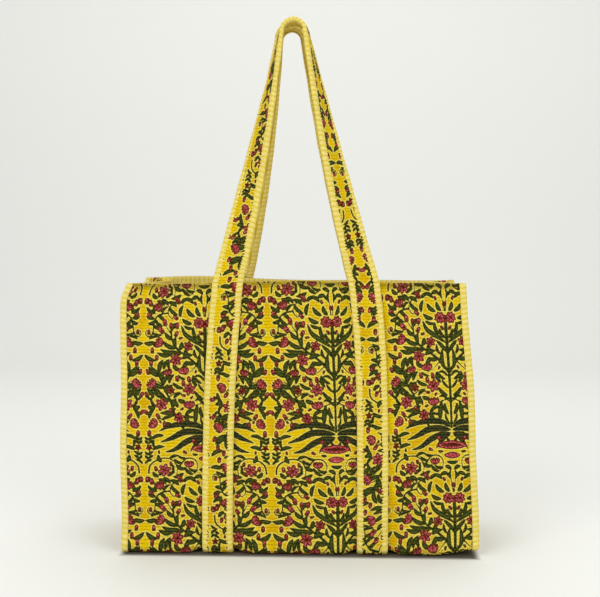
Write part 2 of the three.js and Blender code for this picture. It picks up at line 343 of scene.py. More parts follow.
def draw_stem(tile):
    """The plant's stem, with its pairs of leaves and the tall flowers beside it."""
    tile.stem(4.6, (0, 8), (0, 60), (0, 138))
    tile.blade("green", 5.6, (6.0, 63), (8.4, 52), (7.0, 37), fullest=0.4)
    tile.blade("green", 3.4, (1.5, 73), (8, 66.5), (15, 67.5), fullest=0.5)
    tile.blade("green", 3.4, (1.5, 88), (7, 82), (10, 76), fullest=0.5)
    tile.blade("green", 3.6, (1.5, 105), (9, 97), (15.5, 99), fullest=0.5)
    tile.blade("green", 6.0, (14.6, 128), (13.6, 114), (11.0, 102), fullest=0.4)
    tile.blade("green", 3.0, (1.5, 134), (6.5, 126), (7.8, 118), fullest=0.5)


def draw_branches(tile):
    """The branches that climb from the stem to the plain column."""
    tile.branch(3.6, (5.0, 12), (1.5, 66), (13, 51), (24, 42), (36, 33), (42.5, 22), (44, 6))
    tile.branch(3.4, (5.2, 13), (30, 134), (40, 118), (47, 96), (54, 84), (60, 66), (61, 60),
                spacing=8)
    for width, line in ((1.8, ((47, 94), (40, 89), (32, 87))),
                        (1.8, ((2, 100), (12, 104), (20, 106))),
                        (1.7, ((12, 54), (20, 62), (27, 66))), (1.7, ((44, 14), (49, 6), (52, 1))),
                        (1.6, ((44, 20), (50, 13), (56, 11))), (1.6, ((42, 24), (37, 18), (36, 14))),
                        (1.5, ((38, 32), (38, 24), (36, 6))), (1.6, ((57, 78), (63, 74), (69, 77))),
                        (1.7, ((48, 132), (58, 122), (66, 128))), (1.5, ((40, 118), (36, 119)))):
        tile.stem(width, *line)
    for centre, radius, turn in (((52, -1), 3.9, 10), ((36, 3), 3.6, -15), ((57, 9), 4.4, 40),
                                 ((37, 13.5), 3.4, -30), ((44, 3), 3.2, 0)):
        tile.bud(centre, radius, turn)
    for foot, tip in (((38, 32), (56, 22)), ((36, 36), (59, 33)), ((44, 40), (63, 37.5)),
                      ((62, 30), (66, 24.5)), ((66, 24), (79.5, 25.5)), ((65, 48), (79, 40)),
                      ((60, 68), (74, 55)), ((60, 63), (54.5, 46)), ((56, 80), (47, 66)),
                      ((45, 98), (36, 108)), ((38.9, 108.6), (60, 114.6)),
                      ((46, 98), (61, 92)), ((50, 90), (43, 78)), ((30, 45), (16, 40)),
                      ((24, 48), (30, 56)), ((34, 60), (42, 52)), ((27, 100), (36, 97)),
                      ((22, 128), (26, 116)), ((53, 128), (44, 133)), ((68, 92), (73, 84)),
                      ((66, 108), (75, 106)), ((30, 24), (34, 34))):
        tile.leaf(5.2, foot, tip)


def draw_flowers(tile):
    for centre, radius in (((21.6, 29), 7.4), ((38.4, 46.5), 9.0), ((45, 85.6), 6.0),
                           ((21.6, 83.7), 9.4), ((57.5, 103.5), 9.4), ((34.8, 121), 8.0)):
        tile.star(centre, radius)
    for centre, width, height, turn in (((60.6, 24.4), 14, 13, 65), ((49, 62), 12, 11, 10),
                                        ((28.7, 59.3), 15, 11, 5), ((70.7, 76.6), 14, 14, 50),
                                        ((22, 103), 15, 12, 8), ((68.7, 127.8), 14, 13, 60),
                                        ((60.6, -21), 12, 14, 20)):
        tile.tulip(centre, width, height, turn)
    for centre in ((68.7, 35), (63, 44), (70.5, 51), (37, 70.5), (21.6, 71), (76.8, 91),
                   (77.4, 113.5), (62, 118.6), (53.5, 129.5), (71.8, -10), (76.3, -27.7),
                   (35.8, -30), (37.8, -7), (16.6, 151), (29, 76), (75, 62), (46, 112)):
        tile.bud(centre, 3.3, (centre[0] * 37) % 70 - 20)


def draw_fronds(tile):
    """The heavy dark leaves that sweep to both sides of the plant's foot."""
    for width, line in ((8.0, ((1, 137), (12, 130.5), (30, 128.5), (48, 132), (62, 138.5))),
                        (8.4, ((1, 141), (14, 138.5), (30, 139.5), (45, 147), (60, 152.5))),
                        (7.8, ((1, 145), (14, 146.5), (27, 152), (41, 161.5), (54, 165))),
                        (5.2, ((2, 147), (9, 150), (16, 157), (22, 165)))):
        tile.blade("frond", width, *line, fullest=0.4)
    tile.blade("petal", 11.5, (-21, 160.5), (0, 160), (21, 160.5), fullest=0.5)
    tile.blade("red", 4.6, (-15, 160.5), (0, 160), (15, 160.5), fullest=0.5)
    tile.blade("petal", 8.5, (-11, 173), (0, 173.5), (11, 173), fullest=0.5)
    for foot, tip in (((26, 173), (38, 169)), ((2, 156), (6.5, 150)),
                      ((12, 168), (19, 167))):
        tile.leaf(3.2, foot, tip)


def draw_column_plants(tile):
    """The small plants in a row beside the plain column."""
    tile.stem(1.6, (72.5, 170), (73.2, 158), (73, 140))
    tile.bud((73, 140.5), 3.4)
    tile.star((73, 159), 5.0, 5)
    for side in (-1, 1):
        for v in (147, 151.5, 166, 171):
            tile.leaf(3.0, (73, v + 2), (73 + 5.5 * side, v - 2))
        for v in (88, 98):
            tile.leaf(3.0, (71, v), (71 + 5.0 * side, v - 6))


def draw_scrolls(tile):
    """The band of scrolls between one row of plants and the next."""
    tile.stem(2.3, (74, 192), (72.5, 183), (66, 176.5), (54, 172.5), (43, 176), (38, 186), (40, 198))
    tile.stem(2.2, (36, 184), (27, 173.5), (17, 174), (12.5, 181), (15, 191), (21, 193))
    tile.star((54, 188), 9.4)
    tile.tulip((23, 179.5), 13, 10, 0)
    for centre, radius in (((34, 200), 3.6), ((71, 203), 3.4), ((65, 186), 3.0), ((46, 180), 2.6)):
        tile.bud(centre, radius, 15)
    for foot, tip in (((28, 187), (40, 181)), ((26, 197), (14, 204)), ((30, 192), (44, 197)),
                      ((62, 197), (69, 190)), ((62, 200), (52, 206)), ((47, 201), (36, 208)),
                      ((10, 187), (2, 192)), ((16, 198), (7, 196)), ((58, 178), (62, 168)),
                      ((64, 208), (71, 215))):
        tile.leaf(4.6, foot, tip)
    tile.stem(2.2, (28, -25.5), (38, -26.5), (45.5, -20), (47.5, -12), (43, -6), (38.5, -9))
    tile.stem(2.4, (48, -13), (59, -10.5), (64.5, -5), (66.5, 3), (68, 13), (72.8, 17.5),
              (77, 14), (75.5, 9))
    tile.stem(2.0, (70, -29), (67.5, -22), (65, -12))
    tile.bud((72.8, 11.5), 2.8)
    for foot, tip in (((64, -12), (76, -20)), ((66, -6), (76, -9)), ((60, -9), (53, -2)),
                      ((66, 4), (60, 9)), ((67, -23), (75, -32)), ((56, -30), (47, -22)),
                      ((50, -32), (42, -37)), ((61, -33), (53, -39)), ((30, -26), (21, -30)),
                      ((65, -2), (74, 1))):
        tile.leaf(4.4, foot, tip)


def draw_tile():
    tile = Tile()
    for draw in (draw_branches, draw_stem, draw_crown, draw_flowers, draw_fronds,
                 draw_column_plants, draw_scrolls):
        draw(tile)
    tile.fill_gaps(3.1, 90)
    return tile


def sample_tile(tile, a, v):
    """Each ink's distance at points of the cloth, between the tile's own points."""
    folded = np.abs(a) % (2 * HALF_TILE)
    folded = np.where(folded > HALF_TILE, 2 * HALF_TILE - folded, folded)
    column = folded / TILE_STEP
    row = (v % TILE_HEIGHT) / TILE_STEP
    c0 = np.clip(column.astype(int), 0, tile.columns - 2)
    r0 = row.astype(int) % tile.rows
    r1 = (r0 + 1) % tile.rows
    across, down = column - c0, row - np.floor(row)
    found = {}
    for name, field in tile.ink.items():
        upper = field[r0, c0] * (1 - across) + field[r0, c0 + 1] * across
        lower = field[r1, c0] * (1 - across) + field[r1, c0 + 1] * across
        found[name] = upper * (1 - down) + lower * down
    return found


def plant_distance(place):
    """The distance from the plant's middle line, for a place across the front's print."""
    halves = np.arange(len(PRINT_AXES)) * HALF_TILE
    return np.interp(place, PRINT_AXES, halves)


# ------------------------------------------------------------------ the bag's surfaces

def ease(share):
    share = np.clip(share, 0, 1)
    return share * share * (3 - 2 * share)


def height_share(z):
    return np.maximum(0, (z - BASE_Z) / (HEIGHT - BASE_Z))


def half_depth(t):
    return HALF_DEPTH - RIM_LEAN * t**2


def right_edge(t):
    return HALF_WIDTH - RIGHT_SIDE_LEAN * t**1.6


def fold_depth(t):
    return np.sqrt(HALF_DEPTH**2 - half_depth(t) ** 2)


class Wrap:
    """The outer face's run from the front rim down, under the base and up to the back rim."""

    def __init__(self):
        z = np.linspace(HEIGHT, BASE_Z + CORNER_RADIUS, 160)
        t = height_share(z)
        slope = 2 * RIM_LEAN * t / (HEIGHT - BASE_Z)
        size = np.hypot(1, slope)
        angle = np.linspace(0, np.pi / 2, 16)[1:]
        front = np.array([
            np.concatenate([-half_depth(t), -HALF_DEPTH + CORNER_RADIUS * (1 - np.cos(angle))]),
            np.concatenate([z, z[-1] - CORNER_RADIUS * np.sin(angle)]),
            np.concatenate([-1 / size, -np.cos(angle)]),
            np.concatenate([slope / size, -np.sin(angle)]),
            np.concatenate([t, 0 * angle]),
        ])
        back = front[:, ::-1] * np.array([-1, 1, -1, 1, 1])[:, None]
        self.lines = np.concatenate([front, back], axis=1)
        steps = np.hypot(*np.diff(self.lines[:2], axis=1))
        self.run = np.concatenate([[0], np.cumsum(steps)])
        self.length = self.run[-1]

    def at(self, s):
        """y, z, the normal's y and z, and the share of the height, at distances s along."""
        return [np.interp(s, self.run, line) for line in self.lines]

    def place(self, x, s, out):
        y, z, ny, nz, _ = self.at(s)
        return stacked(x, y + ny * out, z + nz * out)


def stacked(x, y, z):
    return np.stack(np.broadcast_arrays(x, y, z), axis=-1)


def bump_at(value, centre, width):
    return np.exp(-((value - centre) / width) ** 2)


def bumps(x, profile):
    """A level and the bumps upon it, each with its height, place and width."""
    level, *rises = profile
    return level + sum(height * bump_at(x, centre, width) for height, centre, width in rises)


def settled(points):
    """Lets the sewn cloth sag and wave a little. Pieces that touch move together."""
    x, y, z = np.moveaxis(points, -1, 0)
    t = height_share(z)
    low = np.exp(-((z / 16) ** 2))
    high = ease((z - 230) / 116) * (1 - ease((z - HEIGHT) / 40))
    front = ease((70 - y) / 140)
    face = np.clip(np.abs(y) / 70, 0, 1) ** 3 * np.sign(y) * (1 - ease((z - HEIGHT) / 40))

    from_strap = np.minimum.reduce([np.abs(x - base) for base, _ in STRAP_CENTRES.values()])
    loose = ease((from_strap - STRAP_HALF_WIDTH) / 20)
    near_corner = 0.9 * ease((x - 170) / 59) + 0.22 * ease((-190 - x) / 39)
    sag = -SAG * low * loose * (1 - near_corner)
    lift = 4.0 * low * ease((x - 170) / 59) * np.clip(np.abs(y) / HALF_DEPTH, 0, 1)
    front_rim = bumps(x, FRONT_RIM)
    back_rim = bumps(x, BACK_RIM)
    rim = (front * front_rim + (1 - front) * back_rim) * high

    wave = (1.5 * np.sin(x / 47 + 1.0) * np.sin(z / 61) + 0.9 * np.sin(x / 23 + z / 38)
            + 0.35 * np.sin(x / 9.5 - z / 31) * np.sin(z / 14.0))
    rim_bow = 3.0 * np.cos(np.pi * (x + 4) / 215) * ease((z - 190) / 156)
    foot_bulge = FOOT_BULGE * np.exp(-((z / 30) ** 2)) * loose
    corner = 8.5 * ease((z - 316) / 34) ** 1.5 * ease((-150 - x) / 75)
    edge_wave = 0.8 * np.sin(z / 27.0) * ease((np.abs(x) - 170) / 50)
    return stacked(
        x + (corner + edge_wave) * (1 - ease((z - HEIGHT) / 40)),
        y + face * (wave * np.sin(np.pi * np.clip(t, 0, 1)) ** 0.5 + rim_bow + foot_bulge),
        z + sag + lift + rim,
    )


# ------------------------------------------------------------------ meshes

def quads(index):
    corners = (index[:-1, :-1], index[:-1, 1:], index[1:, 1:], index[1:, :-1])
    return np.stack(corners, axis=-1).reshape(-1, 4)


def border(index):
    """The indices round the edge of a grid, once round."""
    return np.concatenate([index[0], index[1:, -1], index[-1, -2::-1], index[-2:0:-1, 0]])


def new_piece(name, points, faces, materials, second=None):
    """A mesh object, in metres. second says which faces take the second material."""
    mesh = bpy.data.meshes.new(name)
    mesh.from_pydata((points * MM).tolist(), [], faces)
    built = bmesh.new()
    built.from_mesh(mesh)
    bmesh.ops.recalc_face_normals(built, faces=built.faces)
    built.to_mesh(mesh)
    built.free()
    for material in materials:
        mesh.materials.append(material)
    mesh.polygons.foreach_set("use_smooth", np.ones(len(faces), bool))
    if second is not None:
        mesh.polygons.foreach_set("material_index", np.array(second, np.int32))
    mesh.update()
    piece = bpy.data.objects.new(name, mesh)
    bpy.context.scene.collection.objects.link(piece)
    return piece


def give(piece, name, values):
    """Stores one number, or a vector of three, at each point of a piece."""
    kind = "FLOAT" if values.ndim == 1 else "FLOAT_VECTOR"
    attribute = piece.data.attributes.new(name, kind, "POINT")
    key = "value" if values.ndim == 1 else "vector"
    attribute.data.foreach_set(key, values.astype(np.float32).ravel())


def thick_cloth(name, outer, inner, cloth, inks, materials):
    """A closed quilted cloth. outer is a fine grid of points and inner one with BACK_RATIO times
    fewer steps, and their edges are joined all round. cloth is the place on the cloth of each
    outer point, and inks its distance from each ink's edge."""
    front = np.arange(outer[..., 0].size).reshape(outer.shape[:2])
    back = front.size + np.arange(inner[..., 0].size).reshape(inner.shape[:2])
    faces = quads(front).tolist()
    second = [0] * len(faces)
    faces += quads(back)[:, ::-1].tolist()
    second += [1] * (len(faces) - len(second))
    near, far = border(front), border(back)
    for k in range(len(far)):
        edge = [near[(k * BACK_RATIO + i) % len(near)] for i in range(BACK_RATIO, -1, -1)]
        faces.append([int(i) for i in (*edge, far[k], far[(k + 1) % len(far)])])
    second += [0] * (len(faces) - len(second))
    points = settled(np.concatenate([outer.reshape(-1, 3), inner.reshape(-1, 3)]))
    piece = new_piece(name, points, faces, materials, second)
    back_cloth = cloth[COARSE]
    give(piece, "cloth", np.concatenate([cloth.reshape(-1, 3), back_cloth.reshape(-1, 3)]))
    for ink, values in inks.items():
        give(piece, ink, np.concatenate([values.ravel(), np.full(back.size, FAR)]))
    return piece


def tube(name, rings, cloth, materials, closed=False):
    """A closed body from rings of points, one ring for each station along it."""
    count, size = rings.shape[:2]
    index = np.arange(count * size).reshape(count, size)
    around = np.concatenate([index, index[:, :1]], axis=1)
    if closed:
        around = np.concatenate([around, around[:1]], axis=0)
    faces = quads(around).tolist()
    if not closed:
        faces += [index[0, ::-1].tolist(), index[-1].tolist()]
    piece = new_piece(name, settled(rings.reshape(-1, 3)), faces, materials)
    give(piece, "cloth", cloth.reshape(-1, 3))
    return piece


def steps(start, end, step):
    """Evenly spaced places, a whole number of coarse steps apart."""
    count = max(1, round(abs(end - start) / (step * BACK_RATIO))) * BACK_RATIO
    return np.linspace(start, end, count + 1)


def edge_round(distance, half):
    """How much of its thickness a cloth has near an edge, so that the edge is round."""
    share = np.clip(distance / half, 0, 1)
    return np.sqrt(np.clip(1 - (1 - share) ** 2, 0.1, 1))


def ribs(s, x):
    """The rise of the cloth between rows of running stitch, which are never quite straight."""
    drift = 0.5 * np.sin(x / 37.0) + 0.35 * np.sin(x / 13.0 + 2.0)
    pucker = 0.75 + 0.25 * np.sin(x / 3.1 + 5 * np.round(s / STITCH_ROW))
    return RIB_HEIGHT * pucker * np.cos(2 * np.pi * (s + drift) / STITCH_ROW)


def declare(nodes):
    """Hides the CAD nodes that a piece of cloth stands for."""
    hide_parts(*nodes)


def layers(name):
    return [f"{name}_{layer}" for layer in ("print", "wadding", "lining")]


# ------------------------------------------------------------------ body pieces

def add_body(wrap, tile, materials):
    """Front, base and back in one length. The print is upright on both faces."""
    s = steps(0, wrap.length, ROW_STEP)
    share = steps(0, 1, COLUMN_STEP / (2 * HALF_WIDTH))
    t = wrap.at(s)[4][:, None]
    left = -HALF_WIDTH + BINDING_PROUD
    right = right_edge(t) - BINDING_PROUD
    x = left + share * (right - left)
    half = PANEL_THICKNESS / 2
    s_grid = np.broadcast_to(s[:, None], x.shape)
    from_end = np.minimum(s_grid, wrap.length - s_grid)
    from_side = np.minimum(x - left, right - x)
    full = edge_round(np.minimum(from_end, from_side), half)
    outer = wrap.place(x, s_grid, half * (full - 1) + ribs(s_grid, x) * full)
    inner = wrap.place(x[COARSE], s_grid[COARSE], -half * (1 + full[COARSE]))
    face = BINDING_FACE - BINDING_PROUD
    print_place = PRINT_WIDTH * (x - left - face) / (right - left - 2 * face)
    rise = np.interp(print_place, list(PRINT_RISE), list(PRINT_RISE.values()))
    below_crown = from_end - (HEIGHT - CROWN_Z) + rise
    inks = sample_tile(tile, plant_distance(print_place), below_crown)
    # Painted shade near the rims, where the cloth folds over: full within a few millimetres of the rim,
    # gone by the shade's width
    inks["rim_shade"] = RIM_SHADE_STRENGTH * ease((RIM_SHADE_WIDTH - from_end) / 8)
    cloth = stacked(x, s_grid, 0)
    piece = thick_cloth("body", outer, inner, cloth, inks, materials)
    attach(piece, "bag")
    declare(layers("body"))


def add_gussets(tile, materials):
    """The side panels. Each folds in at its middle as it nears the mouth."""
    inset = PANEL_THICKNESS + GAP
    radius = GUSSET_FOLD_RADIUS
    z = steps(HEIGHT, BASE_Z + inset, ROW_STEP)
    share = steps(-1, 1, COLUMN_STEP / HALF_DEPTH)
    u, z_grid = np.meshgrid(share, z)
    t = height_share(z_grid)
    below = np.clip((BASE_Z + inset + radius - z_grid) / radius, 0, 1)
    run = half_depth(t) - inset - radius * (1 - np.sqrt(1 - below**2))
    from_end = np.minimum(HEIGHT - z_grid, z_grid - z[-1])
    half = PANEL_THICKNESS / 2
    full = edge_round(np.minimum(from_end, (1 - np.abs(u)) * run), half)
    pushed = fold_depth(t) * (1.03 - np.sqrt(u**2 + 0.03**2))
    inks = sample_tile(tile, u * run + HALF_TILE, CROWN_Z - z_grid)
    for side, out in (("left", -1), ("right", 1)):
        edge = right_edge(t) if out > 0 else HALF_WIDTH
        outer_x = edge - GUSSET_INSET - pushed + half * (full - 1) + ribs(z_grid, u * HALF_DEPTH) * full
        inner_x = edge - GUSSET_INSET - pushed - half * (1 + full)
        outer = stacked(out * outer_x, u * run, z_grid)
        inner = stacked(out * inner_x, u * run, z_grid)[COARSE]
        cloth = stacked(u * run, HEIGHT - z_grid, 0)
        piece = thick_cloth(f"{side}_gusset", outer, inner, cloth, inks, materials)
        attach(piece, "bag")
        declare(layers(f"{side}_gusset"))


def binding_section(top, bottom, points=7):
    """A binding's section, as (u, v) points: a strip of cloth folded round the edge at u = 0."""
    middle, half = (top + bottom) / 2, (top - bottom) / 2 + BINDING_PROUD
    turn = np.linspace(np.pi / 2, -np.pi / 2, points)
    bend = min(half, 4.0)
    run = np.linspace(-BINDING_FACE, -bend, 4)
    puff = 0.35 * np.sin(np.pi * np.linspace(0, 1, 4))
    outside = np.concatenate([
        np.stack([run, middle + half + puff - 0.25 * (1 - np.linspace(0, 1, 4))], 1),
        np.stack([-bend + bend * np.cos(turn[1:-1]), middle + half * np.sin(turn[1:-1])], 1),
        np.stack([run[::-1], middle - half - puff[::-1]], 1),
    ])
    thin = half - BINDING_PROUD + 0.1
    inside = np.array([[-BINDING_FACE, middle - thin], [-1.4, middle - thin],
                       [-1.4, middle + thin], [-BINDING_FACE, middle + thin]])
    return np.concatenate([outside, inside])


def binding(name, place, s, section, materials):
    """A binding along the places s, from place(u, s, v). It puckers a little at its stitches."""
    u, v = section[:, 0][None], section[:, 1][None]
    along = s[:, None]
    middle = v.mean()
    pucker = 0.22 * np.sin(2 * np.pi * along / STITCH_ROW) + 0.25 * np.sin(along / 9.0)
    rings = place(u, along, v + np.sign(v - middle) * pucker * ease((u + BINDING_FACE) / 3))
    around = np.cumsum(np.hypot(*np.diff(section, axis=0, prepend=section[:1]).T))
    cloth = stacked(around[None] + 0 * along, along + 0 * u, 0)
    return tube(name, rings, cloth, materials)


def add_seam_bindings(wrap, materials):
    s = steps(0, wrap.length, BINDING_STEP)
    t = wrap.at(s)[4][:, None]
    section = binding_section(0, -PANEL_THICKNESS)
    for side, out in (("left", -1), ("right", 1)):
        edge = right_edge(t) if out > 0 else HALF_WIDTH
        piece = binding(
            f"{side}_seam_tape",
            lambda u, along, v: wrap.place(out * (edge + u), along, v),
            s, section, materials,
        )
        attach(piece, "bag")
        declare([f"{side}_seam_binding"])


def mouth_line(z, inset):
    """The mouth's inner outline at one height: its six corners in turn."""
    t = height_share(z)
    left = -HALF_WIDTH + GUSSET_INSET + inset
    right = right_edge(t) - GUSSET_INSET - inset
    y = half_depth(t) - inset
    fold = fold_depth(t)
    return np.array([[left, -y], [right, -y], [right - fold, 0], [right, y], [left, y],
                     [left + fold, 0]])


def add_mouth_facing(materials):
    """A hemmed band of striped cloth round the inside of the mouth."""
    bottom = HEIGHT - FACING_HEIGHT
    levels = np.linspace(0, 1, 9)
    profile = [(HEIGHT - FACING_HEIGHT * k, 0) for k in levels]
    profile += [(bottom + FACING_HEIGHT * k, FACING_CLOTH + 0.5 * (k < 0.2)) for k in levels]
    rings, cloth = [], []
    for z, depth in profile:
        corners = mouth_line(z, PANEL_THICKNESS + FACING_GAP + depth)
        sides = np.linalg.norm(np.roll(corners, -1, 0) - corners, axis=1)
        run = np.concatenate([[0], np.cumsum(sides)])
        at = np.linspace(0, 1, 420, endpoint=False) * run[-1]
        line = np.vstack([corners, corners[:1]])
        rings.append(stacked(np.interp(at, run, line[:, 0]), np.interp(at, run, line[:, 1]), z))
        cloth.append(stacked(z, at, 0))
    rings, cloth = np.stack(rings, 1), np.stack(cloth, 1)
    piece = tube("mouth_band", rings, cloth, materials, closed=True)
    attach(piece, "bag")
    declare(["mouth_facing"])


# ------------------------------------------------------------------ straps and handles

def strap_print(tile, across, s, side, part):
    """The inks on a strap, which is cut along the plain column and its small plants."""
    upward = 1 if part == "handle" else -1
    if side == "left":
        a = HALF_TILE - COLUMN_OFFSET["left"] - across
    else:
        a = HALF_TILE - COLUMN_OFFSET["right"] + across + COLUMN_DRIFT[part] * s
    return sample_tile(tile, a, upward * s + STRAP_PRINT_START[side])


def add_strap(name, place, s, inks_at, materials):
    """A strap's quilted cloth and its two edge bindings, from place(across, s, out)."""
    quilt_materials, stripe_materials = materials
    half_width = STRAP_HALF_WIDTH - STRAP_EDGE
    across = steps(-half_width, half_width, COLUMN_STEP)
    s_grid, a_grid = np.meshgrid(s, across, indexing="ij")
    crown = STRAP_CROWN * (1 - (a_grid / half_width) ** 4)
    full = edge_round(half_width - np.abs(a_grid), STRAP_HALF)
    outer = place(a_grid, s_grid, STRAP_HALF * full + (crown + ribs(s_grid, a_grid)) * full)
    inner = place(a_grid[COARSE], s_grid[COARSE], -STRAP_HALF * full[COARSE])
    inks = inks_at(a_grid, s_grid)
    cloth = stacked(a_grid, s_grid, 0)
    quilt = thick_cloth(f"{name}_quilt", outer, inner, cloth, inks, quilt_materials)
    declare(layers(name))
    pieces = [quilt]
    section = binding_section(STRAP_HALF, -STRAP_HALF)
    rows = steps(s[0], s[-1], BINDING_STEP)
    for edge, out in (("inner", 1), ("outer", -1)):
        tape = binding(
            f"{name}_{edge}_tape",
            lambda u, along, v: place(out * (u + STRAP_HALF_WIDTH), along, v),
            rows, section, stripe_materials,
        )
        declare([f"{name}_{edge}_binding"])
        pieces.append(tape)
    return pieces


def add_sewn_straps(wrap, tile, materials):
    """Each strap runs down the front, under the base and up the back."""
    s = steps(0, wrap.length, ROW_STEP)
    for side, (base, rim) in STRAP_CENTRES.items():
        inward = 1 if side == "left" else -1

        def place(across, along, out, base=base, rim=rim, side=side, inward=inward):
            t = wrap.at(along)[4]
            x = base + (rim - base) * t ** STRAP_SWERVE[side] + inward * across
            return wrap.place(x, along, out + STRAP_STANDOFF)

        def inks(across, along, side=side, inward=inward):
            from_rim = np.minimum(along, wrap.length - along)
            return strap_print(tile, inward * across, from_rim, side, "strap")

        pieces = add_strap(f"{side}_strap", place, s, inks, materials)
        for piece in pieces:
            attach(piece, "bag")


def arch_path(top, centre_x):
    """The handle's middle line, up the left leg, round the arch and down the right leg."""
    arc_centre = top - ARCH_RADIUS
    leg_top = arc_centre + ARCH_RADIUS * math.sin(ARCH_TILT)
    leg_spread = ARCH_RADIUS * math.cos(ARCH_TILT)
    rim_y = -(half_depth(1) + STRAP_STANDOFF)
    share = np.linspace(0, 1, 300)
    angle = np.linspace(ARCH_TILT, np.pi / 2, 60)[1:]

    def half_arch(side, out):
        foot = STRAP_CENTRES[side][1]
        spread = abs(foot - centre_x) * (1 - share) + leg_spread * share
        x = np.concatenate([spread - LEG_BOW[side] * np.sin(np.pi * share),
                            ARCH_RADIUS * np.cos(angle)])
        z = np.concatenate([HEIGHT + (leg_top - HEIGHT) * share,
                            arc_centre + ARCH_RADIUS * np.sin(angle)])
        climb = (z - HEIGHT) / (top - HEIGHT)
        y = rim_y + (ARCH_Y - rim_y) * (0.35 * climb + 0.65 * climb**2)
        return np.stack([centre_x + out * x, y, z], axis=1)

    left = half_arch("left", -1)
    right = half_arch("right", 1)
    return np.concatenate([left, right[-2::-1]])


def unit(vectors):
    return vectors / np.linalg.norm(vectors, axis=-1, keepdims=True)


class Arch:
    """The handle's frames. It lies flat against the rim and twists edge-on towards the top."""

    def __init__(self, top, centre_x, mirror):
        path = arch_path(top, centre_x)
        self.run = np.concatenate([[0], np.cumsum(np.linalg.norm(np.diff(path, axis=0), axis=1))])
        self.length = self.run[-1]
        along = unit(np.gradient(path, axis=0))
        leg_run = np.minimum(self.run, self.length - self.run)
        climb = (leg_run / leg_run.max())[:, None]
        in_plane = unit(np.cross([0.0, 1.0, 0.0], along))
        left_leg = (np.arange(len(path)) <= len(path) // 2)[:, None]
        level = np.where(left_leg, [[1.0, 0, 0]], [[-1.0, 0, 0]])
        settle = ease(climb / 0.12)
        inward = unit(level * (1 - settle) + in_plane * settle)
        early = np.where(left_leg, EARLY_TWIST["left"], EARLY_TWIST["right"])
        twist = np.pi / 2 * (early * settle + (1 - early) * climb)
        forward = unit(np.cross(inward, along))
        width = inward * np.cos(twist) + forward * np.sin(twist)
        face = unit(np.cross(width, along))
        self.frames = np.concatenate([path, width, face], axis=1)
        self.mirror = mirror

    def place(self, across, s, out):
        frames = np.stack([np.interp(s, self.run, line) for line in self.frames.T], axis=-1)
        across, out = np.broadcast_arrays(across, out)
        points = (frames[..., 0:3] + frames[..., 3:6] * across[..., None]
                  + frames[..., 6:9] * out[..., None])
        return points * [1, self.mirror, 1]


def add_handles(tile, materials):
    for name, (top, centre_x, mirror) in ARCHES.items():
        arch = Arch(top, centre_x, mirror)
        s = steps(0, arch.length, ROW_STEP)

        def inks(across, along, arch=arch):
            left = strap_print(tile, across, along, "left", "handle")
            right = strap_print(tile, -across, arch.length - along, "right", "handle")
            return {ink: np.where(along < arch.length / 2, left[ink], right[ink]) for ink in left}

        pieces = add_strap(name, arch.place, s, inks, materials)
        for piece in pieces:
            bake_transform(piece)


# ------------------------------------------------------------------ materials

class Shader:
    """A material's node tree, with a short call for each kind of node used here."""

    def __init__(self, name):
        self.material = bpy.data.materials.new(name)
        self.material.use_nodes = True
        self.tree = self.material.node_tree
        self.surface = self.tree.nodes["Principled BSDF"]

    def put(self, socket, value):
        """Links or sets a socket. Three numbers are a display colour."""
        if isinstance(value, bpy.types.NodeSocket):
            self.tree.links.new(value, socket)
        else:
            socket.default_value = colour(*value) if isinstance(value, tuple) else value

    def attribute(self, name, output="Fac"):
        node = self.tree.nodes.new("ShaderNodeAttribute")
        node.attribute_name = name
        return node.outputs[output]

    def math(self, operation, *values, clamp=False):
        node = self.tree.nodes.new("ShaderNodeMath")
        node.operation = operation
        node.use_clamp = clamp
        for socket, value in zip(node.inputs, values):
            self.put(socket, value)
        return node.outputs[0]

    def ramp(self, value, start, end, low=0.0, high=1.0):
        """Goes smoothly from low to high as value goes from start to end."""
        node = self.tree.nodes.new("ShaderNodeMapRange")
        node.interpolation_type = "SMOOTHSTEP"
        for socket, given in zip(node.inputs, (value, start, end, low, high)):
            self.put(socket, given)
        return node.outputs[0]

    def mix(self, share, first, second):
        node = self.tree.nodes.new("ShaderNodeMix")
        node.data_type = "RGBA"
        self.put(node.inputs["Factor"], share)
        self.put(node.inputs[6], first)
        self.put(node.inputs[7], second)
        return node.outputs[2]

    def parts(self, vector):
        node = self.tree.nodes.new("ShaderNodeSeparateXYZ")
        self.put(node.inputs[0], vector)
        return node.outputs

    def vector(self, *values):
        node = self.tree.nodes.new("ShaderNodeCombineXYZ")
        for socket, value in zip(node.inputs, values):
            self.put(socket, value)
        return node.outputs[0]

    def noise(self, where, scale, detail=2.0):
        node = self.tree.nodes.new("ShaderNodeTexNoise")
        self.put(node.inputs["Vector"], where)
        node.inputs["Scale"].default_value = scale
        node.inputs["Detail"].default_value = detail
        return node.outputs["Fac"]

    def wave(self, value, period, phase=0.0):
        """A sine from -1 to 1 with that period in millimetres."""
        return self.math("SINE", self.math("MULTIPLY_ADD", value, 2 * math.pi / period, phase))

    def finish(self, base, height, strength, roughness, sheen):
        bump = self.tree.nodes.new("ShaderNodeBump")
        bump.inputs["Distance"].default_value = MM
        bump.inputs["Strength"].default_value = strength
        self.put(bump.inputs["Height"], height)
        self.put(self.surface.inputs["Normal"], bump.outputs[0])
        self.put(self.surface.inputs["Base Color"], base)
        self.surface.inputs["Roughness"].default_value = roughness
        self.surface.inputs["Sheen Weight"].default_value = sheen
        self.surface.inputs["Specular IOR Level"].default_value = 0.08
        return self.material


def colour(red, green, blue):
    """A display colour, given as 0-255, as the linear colour that Blender wants."""
    shares = np.array([red, green, blue]) / 255
    linear = np.where(shares <= 0.04045, shares / 12.92, ((shares + 0.055) / 1.055) ** 2.4)
    return (*linear.tolist(), 1.0)


def weave(shader, x, y, period=0.9):
    """The height of a plain weave."""
    return shader.math("MULTIPLY", shader.wave(x, period), shader.wave(y, period))


